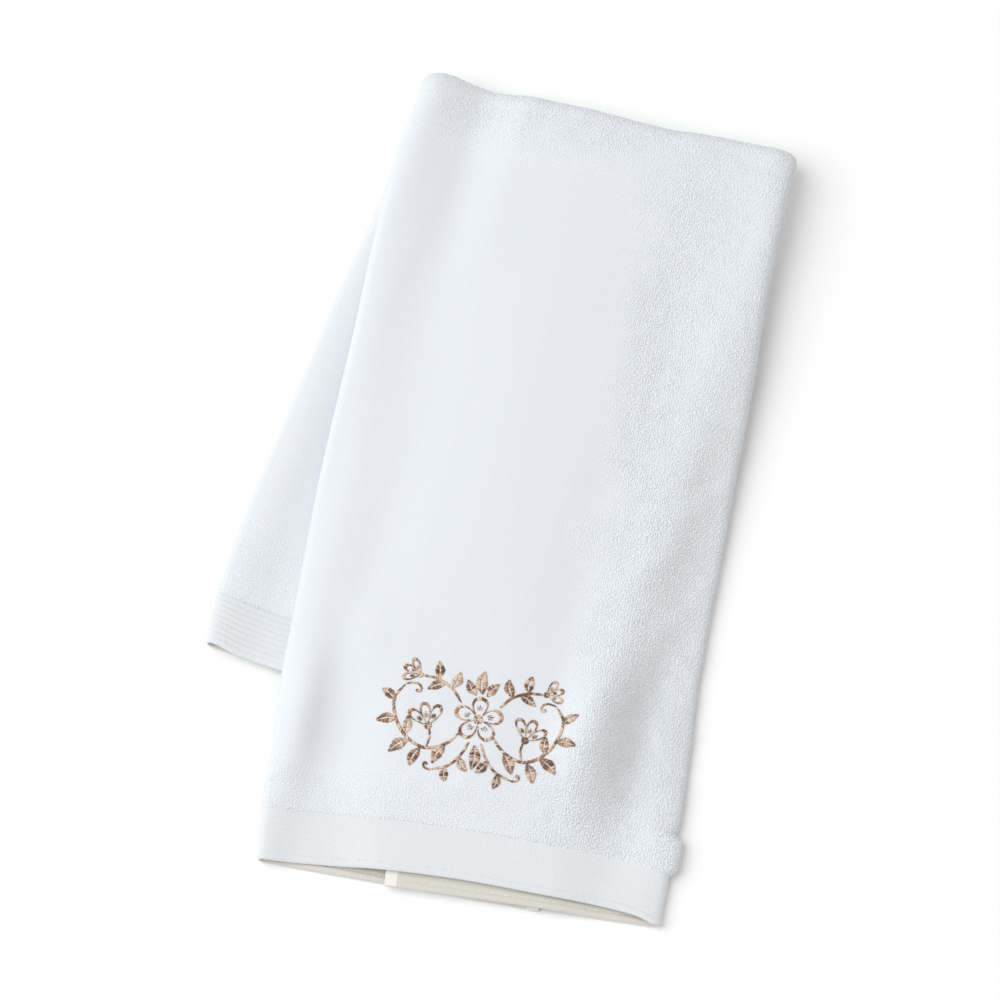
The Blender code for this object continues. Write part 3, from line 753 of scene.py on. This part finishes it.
def sew(name, starts, ends, width, rise, face, threads, thread_of_stitch=None):
    """Stitches between pairs of (u, v) points: tapered strands, raised in the middle, dipped at both ends."""
    spine = []
    for t in STITCH_RINGS:
        u, v = (starts + (ends - starts) * t).T
        swell = math.sin(math.pi * min(max(t, 0.03), 0.97)) ** 0.5
        _, _, out = directions(u, v)
        lift = rise[0] + (rise[1] - rise[0]) * swell + pile_swell(u, v)[:, None]
        spine.append((lay_cloth(u, v) + out * face * lift, out * face))
    run = spine[-1][0] - spine[0][0]
    run /= np.linalg.norm(run, axis=-1, keepdims=True)
    rings = []
    for t, (centre, out) in zip(STITCH_RINGS, spine):
        if t in (0.0, 1.0):
            rings.append(centre[:, None])
            continue
        side = np.cross(run, out)
        side /= np.linalg.norm(side, axis=-1, keepdims=True)
        radius = width / 2 * (1.0 if t == 0.5 else STITCH_SHOULDER)
        angles = (np.arange(STITCH_SIDES) * 2 * math.pi / STITCH_SIDES)[:, None]
        rings.append(centre[:, None] + radius * (side[:, None] * np.cos(angles)
                                                 + out[:, None] * np.sin(angles) * STITCH_FLATNESS))
    stack = np.concatenate(rings, axis=1)
    one = stitch_faces()
    faces = [[first + p for p in ring] for first in range(0, stack.shape[0] * stack.shape[1], stack.shape[1])
             for ring in one]
    which = None if thread_of_stitch is None else np.repeat(thread_of_stitch, len(one))
    return make_mesh(name, stack.reshape(-1, 3).tolist(), faces, threads, which)


def hem_rows():
    """Both ends of every stitch in the two rows, along the hems' seams."""
    margin = 0.003
    across = np.arange(margin, CLOTH_WIDTH - margin - HEM_STITCH, HEM_STITCH + HEM_STITCH_GAP)
    starts, ends = [], []
    for v in (HEM, CLOTH_LENGTH - HEM):
        starts.append(np.stack([across, np.full_like(across, v)], axis=-1))
        ends.append(np.stack([across + HEM_STITCH, np.full_like(across, v)], axis=-1))
    return np.concatenate(starts), np.concatenate(ends)


white_thread = thread_material(Thread("white sewing thread", (0.62, 0.62, 0.60), (0.74, 0.74, 0.72),
                                      (0.86, 0.86, 0.85), 0.55))
hem_starts, hem_ends = hem_rows()
hem_face, hem_back = (sew(name, hem_starts, hem_ends, HEM_THREAD_WIDTH, HEM_THREAD_RISE, face, [white_thread])
                      for name, face in (("hem_stitches_face", 1), ("hem_stitches_back", -1)))

# ---- The embroidery ----
# A spray of a round blossom, buds, leaves and tendrils above the upper half's border, worked through the
# cloth in glossy copper thread. Lines are close slanting stitches, leaves are satin stitch. The thread's
# three tones, laid in random patches, are partly its own varied colour and partly painted highlight and
# painted shade.

# Drawn from its middle in units of MOTIF_SCALE, which its stitches' pitch and shortest length also use.
MOTIF_SCALE = 0.00095
STITCH_PITCH = 0.42
STITCH_SLANT = math.radians(48)
SHORTEST_STITCH = 0.5
UNEVEN_ENDS = 0.10
THREAD_WIDTH = 0.00046
THREAD_RISE = (0.00105, 0.00170)
# Random patches of the copper thread's three tones, partly painted highlight and painted shade: their size,
# scatter and steps.
TONE_AND_GLOSS_PATCH = 0.0022
TONE_AND_GLOSS_SCATTER = 0.35
TONE_AND_GLOSS_STEPS = (-0.28, 0.12)

# A leaf's bend, and how far its rim runs ahead of its vein, as shares of its length. Half the width of its
# bare vein and of its ends. A petal's roundness, and the greatest depth of its rim. Its fine lines: how far
# each leans and how long it is, as shares of the petal's size, and their width.
LEAF_BEND = 0.07
RIM_AHEAD = 0.07
HALF_VEIN = 0.18
HALF_LEAF_END = 0.2
PETAL_ROUNDNESS = 2.6
PETAL_RIM = 2.1
PETAL_LINES = ((-0.30, 0.46), (0, 0.56), (0.30, 0.46))
PETAL_LINE_WIDTH = 0.8

Band = namedtuple("Band", "one_edge other_edge")


def curve(*knots, steps=40):
    """A smooth line through a few knots."""
    knots = np.array(knots, float)
    t = np.concatenate([[0], np.cumsum(np.hypot(*np.diff(knots, axis=0).T))])
    slopes = np.gradient(knots, t, axis=0)
    x = np.linspace(0, t[-1], steps)
    i = np.clip(np.searchsorted(t, x) - 1, 0, len(t) - 2)
    span = (t[i + 1] - t[i])[:, None]
    a = ((x - t[i]) / span[:, 0])[:, None]
    return ((2 * a**3 - 3 * a**2 + 1) * knots[i] + (a**3 - 2 * a**2 + a) * span * slopes[i]
            + (3 * a**2 - 2 * a**3) * knots[i + 1] + (a**3 - a**2) * span * slopes[i + 1])


def rope(line, width):
    """A stem or outline: one edge runs ahead of the other, so that the stitches between them slant."""
    ahead = np.gradient(line, axis=0)
    ahead /= np.linalg.norm(ahead, axis=1, keepdims=True)
    aside = np.stack([-ahead[:, 1], ahead[:, 0]], axis=-1)
    from_start = np.arange(len(line))
    taper = np.sqrt(np.clip(np.minimum(from_start, from_start[::-1]) / 4, 0.25, 1))[:, None]
    step = (aside * math.sin(STITCH_SLANT) + ahead * math.cos(STITCH_SLANT)) * width / 2 * taper
    return Band(line - step, line + step)


def leaf(x, y, heading, length, width):
    """A pointed leaf from its stalk end: two satin halves that slant forward from a bare vein."""
    t = np.linspace(0, 1, 18)
    angle = math.radians(heading)
    bend = LEAF_BEND * length * np.sin(math.pi * t)

    def place(run, off):
        return np.stack([x + run * math.cos(angle) - off * math.sin(angle),
                         y + run * math.sin(angle) + off * math.cos(angle)], axis=-1)

    halves = []
    for side in (1, -1):
        vein = place(length * t * (1 - RIM_AHEAD), bend + side * HALF_VEIN)
        belly = HALF_LEAF_END + width / 2 * np.sin(math.pi * t**0.85)
        rim = place(length * (RIM_AHEAD + (1 - RIM_AHEAD) * t), bend + side * belly)
        halves.append(Band(vein, rim))
    return halves


def petal(heading, inner, outer, half_angle, x=0.0, y=0.0):
    """One rounded petal: a rim of satin stitches that point to its foot, and three fine lines inside it."""
    t = np.linspace(-1, 1, 40)
    reach = inner + (outer - inner) * (1 - np.abs(t) ** PETAL_ROUNDNESS) ** 0.5
    angle = math.radians(heading) + math.radians(half_angle) * t * (1 - 0.25 * (1 - np.abs(t)))
    way = np.stack([np.cos(angle), np.sin(angle)], axis=-1)
    depth = np.minimum(PETAL_RIM, 0.75 * (reach - inner + 0.9))
    foot = np.array([x, y])
    bands = [Band(foot + way * reach[:, None], foot + way * (reach - depth)[:, None])]
    for lean, share in PETAL_LINES:
        a = math.radians(heading + lean * half_angle)
        span = np.linspace(inner + 0.4, inner + share * (outer - inner), 8)
        line = foot + np.stack([span * math.cos(a), span * math.sin(a)], axis=-1)
        bands.append(rope(line, PETAL_LINE_WIDTH))
    return bands


def ring(radius, x=0.0, y=0.0):
    """A round outline, of one edge of a filled ring."""
    a = np.linspace(0, 2 * math.pi, 28)
    return np.stack([x + radius * np.cos(a), y + radius * np.sin(a)], axis=-1)


def bud(x, y, heading, size):
    """A half-open bud: three small petals that fan out from a filled foot."""
    bands = [Band(ring(0.3, x, y), ring(0.13 * size + 0.5, x, y))]
    for lean in (-40, 0, 40):
        bands += petal(heading + lean, 0.22 * size, size, 21, x, y)
    return bands


def tendril(x, y, size, heading, hand):
    """A line that curls up more and more tightly towards its tip."""
    t = np.linspace(0, 1, 44)
    a = math.radians(heading) + hand * (t * 1.6 + t**2 * 5.2)
    step = size * (1.15 - t) / len(t)
    return np.stack([x + np.cumsum(step * np.cos(a)), y + np.cumsum(step * np.sin(a))], axis=-1)


def spray():
    """The whole design: the blossom, one side's stems, leaves and buds, their mirror, the middle leaves."""
    bands = [Band(ring(0.5), ring(2.7))]
    for heading in range(90, 450, 72):
        bands += petal(heading, 3.6, 12.6, 33)
    side = [rope(curve((8, -8), (14, -14.5), (24, -18), (34, -13.5), (40.5, -4), (42, 6), (38, 13)), 2.2),
            rope(curve((9.5, 8), (15, 14.5), (23, 18.5), (31, 19)), 2.0),
            rope(curve((3, -12.5), (6, -19), (12, -25.5), (19, -28)), 1.9),
            rope(tendril(38, 13, 22, 150, 1), 1.5),
            rope(tendril(19.2, -28.0, 13, -12, 1), 1.5),
            rope(curve((23.5, -17.6), (22.5, -12), (23.5, -7.5), steps=16), 1.6)]
    side += bud(24, -6.8, 72, 12.5) + bud(31.5, 19.2, 22, 9.5)
    for x, y, heading, length, width in ((14.5, -15.4, -62, 11, 5.4), (26.5, -18.2, -66, 10.5, 5.2),
                                         (32.5, -14.8, -38, 11.5, 5.6), (39.8, -5.5, -8, 10.0, 5.0),
                                         (34.8, -12.6, 92, 9.5, 4.8), (41.9, 4.2, 36, 9.0, 4.6),
                                         (15, 14.6, 108, 10.0, 5.0), (22.3, 18.4, 84, 9.5, 4.8),
                                         (18.5, 16.6, -28, 9.5, 4.6), (13, -26.2, -98, 7.5, 4.2),
                                         (7.2, -20.5, -128, 8.5, 4.4)):
        side += leaf(x, y, heading, length, width)
    bands += side + [Band(band.one_edge * (-1, 1), band.other_edge * (-1, 1)) for band in side]
    bands += leaf(0, 13.6, 90, 13.0, 6.0) + leaf(-2.6, 12.8, 124, 9.5, 4.8) + leaf(2.6, 12.8, 56, 9.5, 4.8)
    bands += leaf(0, -13.4, -90, 12.5, 5.6)
    return bands


def stitch_bands(bands):
    """Both ends of every stitch, laid side by side along each band; no two are quite the same length."""
    starts, ends = [], []
    chance = np.random.default_rng(5)
    for band in bands:
        one_step, other_step, middle_step = (np.hypot(*np.diff(edge, axis=0).T) for edge in (
            band.one_edge, band.other_edge, (band.one_edge + band.other_edge) / 2))
        longest = np.maximum(np.maximum(one_step, other_step), middle_step)
        t = np.concatenate([[0], np.cumsum(longest * 0.5 + middle_step * 0.5)])
        at = np.arange(0.5 * STITCH_PITCH, t[-1], STITCH_PITCH)
        near, far = (np.stack([np.interp(at, t, edge[:, k]) for k in (0, 1)], axis=-1) for edge in band)
        run = far - near
        starts.append(near - run * chance.uniform(-UNEVEN_ENDS, UNEVEN_ENDS, len(at))[:, None])
        ends.append(far + run * chance.uniform(-UNEVEN_ENDS, UNEVEN_ENDS, len(at))[:, None])
    starts, ends = np.concatenate(starts), np.concatenate(ends)
    long_enough = np.hypot(*(ends - starts).T) > SHORTEST_STITCH
    return starts[long_enough] * MOTIF_SCALE + MOTIF_CENTRE, ends[long_enough] * MOTIF_SCALE + MOTIF_CENTRE


# The dark and light copper threads are partly the thread's own varied colour, and partly painted shade and
# painted highlight of its gloss.
copper_threads = [thread_material(thread) for thread in (
    Thread("dark copper thread, partly painted shade", (0.12, 0.050, 0.024), (0.18, 0.082, 0.040), (0.27, 0.135, 0.070), 0.36),
    Thread("copper thread", (0.32, 0.145, 0.070), (0.46, 0.225, 0.115), (0.56, 0.31, 0.175), 0.34),
    Thread("light copper thread, partly painted highlight", (0.56, 0.34, 0.21), (0.70, 0.50, 0.36), (0.85, 0.70, 0.57), 0.32),
)]
spray_starts, spray_ends = stitch_bands(spray())
shade = patches(spray_starts[:, 0], spray_starts[:, 1], TONE_AND_GLOSS_PATCH, 17)
shade = shade + np.random.default_rng(6).normal(0, TONE_AND_GLOSS_SCATTER, len(shade))
embroidery = sew("embroidery", spray_starts, spray_ends, THREAD_WIDTH, THREAD_RISE, 1, copper_threads,
                 np.digitize(shade, TONE_AND_GLOSS_STEPS))

# ---- The floor and the light ----
# A plain pale studio floor that runs out of sight. A broad soft lamp stands high on the left, a faint
# reflecting card low on the right, and an even white surround lights all the rest.

FLOOR_HALF = 15.0
FLOOR_HEIGHT = -0.0001
SURROUND_COLOUR = (1.0, 0.985, 0.962, 1)
SURROUND_STRENGTH = 0.60


def pale_floor():
    """A broad pale floor, just below the surface that the towel lies on, with faint clouds in its tone."""
    material = bpy.data.materials.new("pale studio floor")
    material.use_nodes = True
    nodes, links = material.node_tree.nodes, material.node_tree.links
    surface = nodes["Principled BSDF"]
    surface.inputs["Roughness"].default_value = 0.9
    surface.inputs["Specular IOR Level"].default_value = 0.1
    cloud = nodes.new("ShaderNodeTexNoise")
    cloud.inputs["Scale"].default_value = 1.5
    tones = nodes.new("ShaderNodeValToRGB")
    tones.color_ramp.elements[0].color = (0.965, 0.965, 0.965, 1)
    tones.color_ramp.elements[1].color = (0.98, 0.98, 0.98, 1)
    links.new(cloud.outputs["Fac"], tones.inputs["Fac"])
    links.new(tones.outputs["Color"], surface.inputs["Base Color"])
    mesh = bpy.data.meshes.new("floor")
    corners = ((-1, -1), (1, -1), (1, 1), (-1, 1))
    mesh.from_pydata([(x * FLOOR_HALF, y * FLOOR_HALF, FLOOR_HEIGHT) for x, y in corners], [], [(0, 1, 2, 3)])
    mesh.materials.append(material)
    floor = bpy.data.objects.new("floor", mesh)
    bpy.context.scene.collection.objects.link(floor)


def soft_lamp(name, place, size, watts, colour):
    """A round lamp that faces the towel."""
    lamp = bpy.data.lights.new(name, "AREA")
    lamp.shape, lamp.size, lamp.energy, lamp.color = "DISK", size, watts, colour
    holder = bpy.data.objects.new(name, lamp)
    holder.location = place
    x, y, z = place
    holder.rotation_euler = (math.atan2(math.hypot(x, y), z), 0, math.atan2(x, -y))
    bpy.context.scene.collection.objects.link(holder)


pale_floor()
soft_lamp("window_left", place=(-1.54, -0.22, 2.08), size=3.0, watts=53.5, colour=(0.955, 0.98, 1.0))
soft_lamp("card_right", place=(2.0, -0.1, 0.55), size=1.4, watts=2.5, colour=(1.0, 0.99, 0.97))
surround = bpy.data.worlds.new("white surround")
surround.use_nodes = True
surround.node_tree.nodes["Background"].inputs["Color"].default_value = SURROUND_COLOUR
surround.node_tree.nodes["Background"].inputs["Strength"].default_value = SURROUND_STRENGTH
bpy.context.scene.world = surround
bpy.context.scene.view_settings.view_transform = "Standard"

# ---- The camera ----
# It looks down on the towel from beyond the front border, a little to the right of it. A long lens keeps the
# folded towel's sides almost parallel, as they are in the photograph.

CAMERA_ELEVATION = math.radians(69)
CAMERA_AZIMUTH = math.radians(10.6)
CAMERA_DISTANCE = 2.7
CAMERA_TARGET = np.array([0.0041, -0.0074, 0.008])
LENS = 205.6
SENSOR = 36

camera = bpy.data.cameras.new("camera")
camera.lens, camera.sensor_width = LENS, SENSOR
camera.clip_start, camera.clip_end = 0.1, 100
viewer = bpy.data.objects.new("camera", camera)
away = np.array([math.sin(CAMERA_AZIMUTH) * math.cos(CAMERA_ELEVATION),
                 -math.cos(CAMERA_AZIMUTH) * math.cos(CAMERA_ELEVATION), math.sin(CAMERA_ELEVATION)])
viewer.location = CAMERA_TARGET + away * CAMERA_DISTANCE
viewer.rotation_euler = (math.pi / 2 - CAMERA_ELEVATION, 0, CAMERA_AZIMUTH)
bpy.context.scene.collection.objects.link(viewer)
bpy.context.scene.camera = viewer
